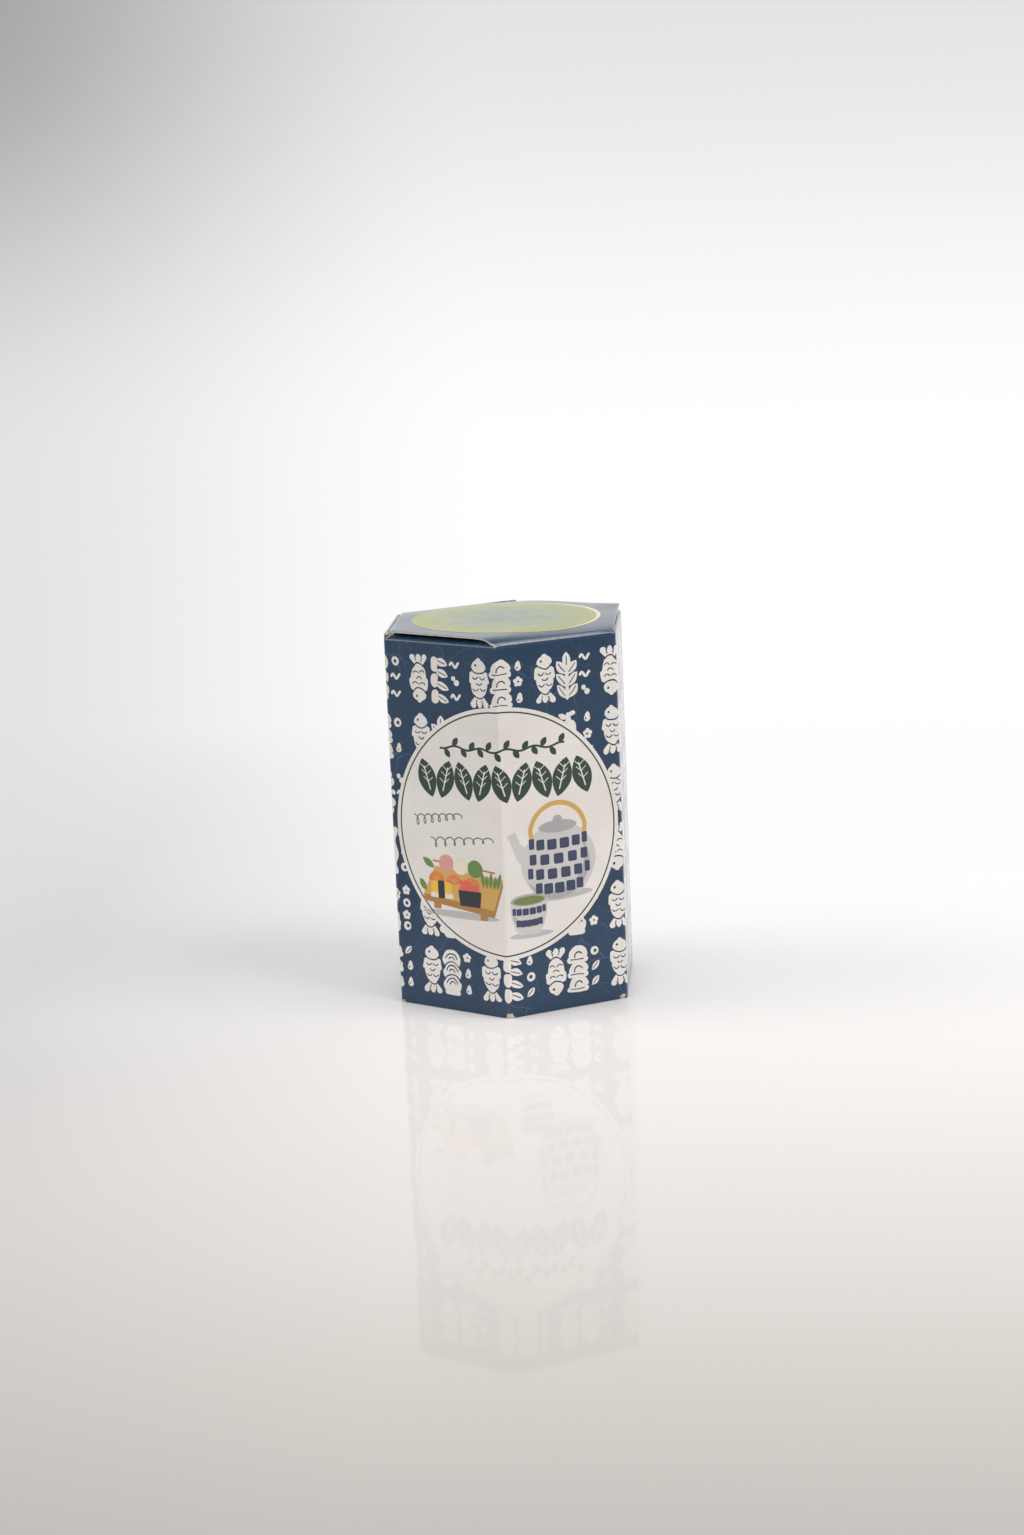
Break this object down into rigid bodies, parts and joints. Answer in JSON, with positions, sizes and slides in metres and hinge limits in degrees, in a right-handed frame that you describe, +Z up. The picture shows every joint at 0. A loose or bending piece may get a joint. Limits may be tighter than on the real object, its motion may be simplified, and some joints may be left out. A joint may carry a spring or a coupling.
{
  "type": "tea box",
  "caption": "Shut six-sided tea carton of thin printed board with a hinged flat lid, soft creases and a flat base.",
  "frame": {"origin": "middle of the base, on the surface that the carton stands on", "axes": "+Z up along the carton, -Y towards the front crease, +X to the right seen from the front"},
  "size_m": [0.0692, 0.0798, 0.1151],
  "materials": {
    "printed_board": "satin",
    "bare_board": "matte",
    "white_print": "satin",
    "colour_print": "satin"
  },
  "bodies": {
    "root": {"carton": "printed_board"}
  },
  "joints": []
}
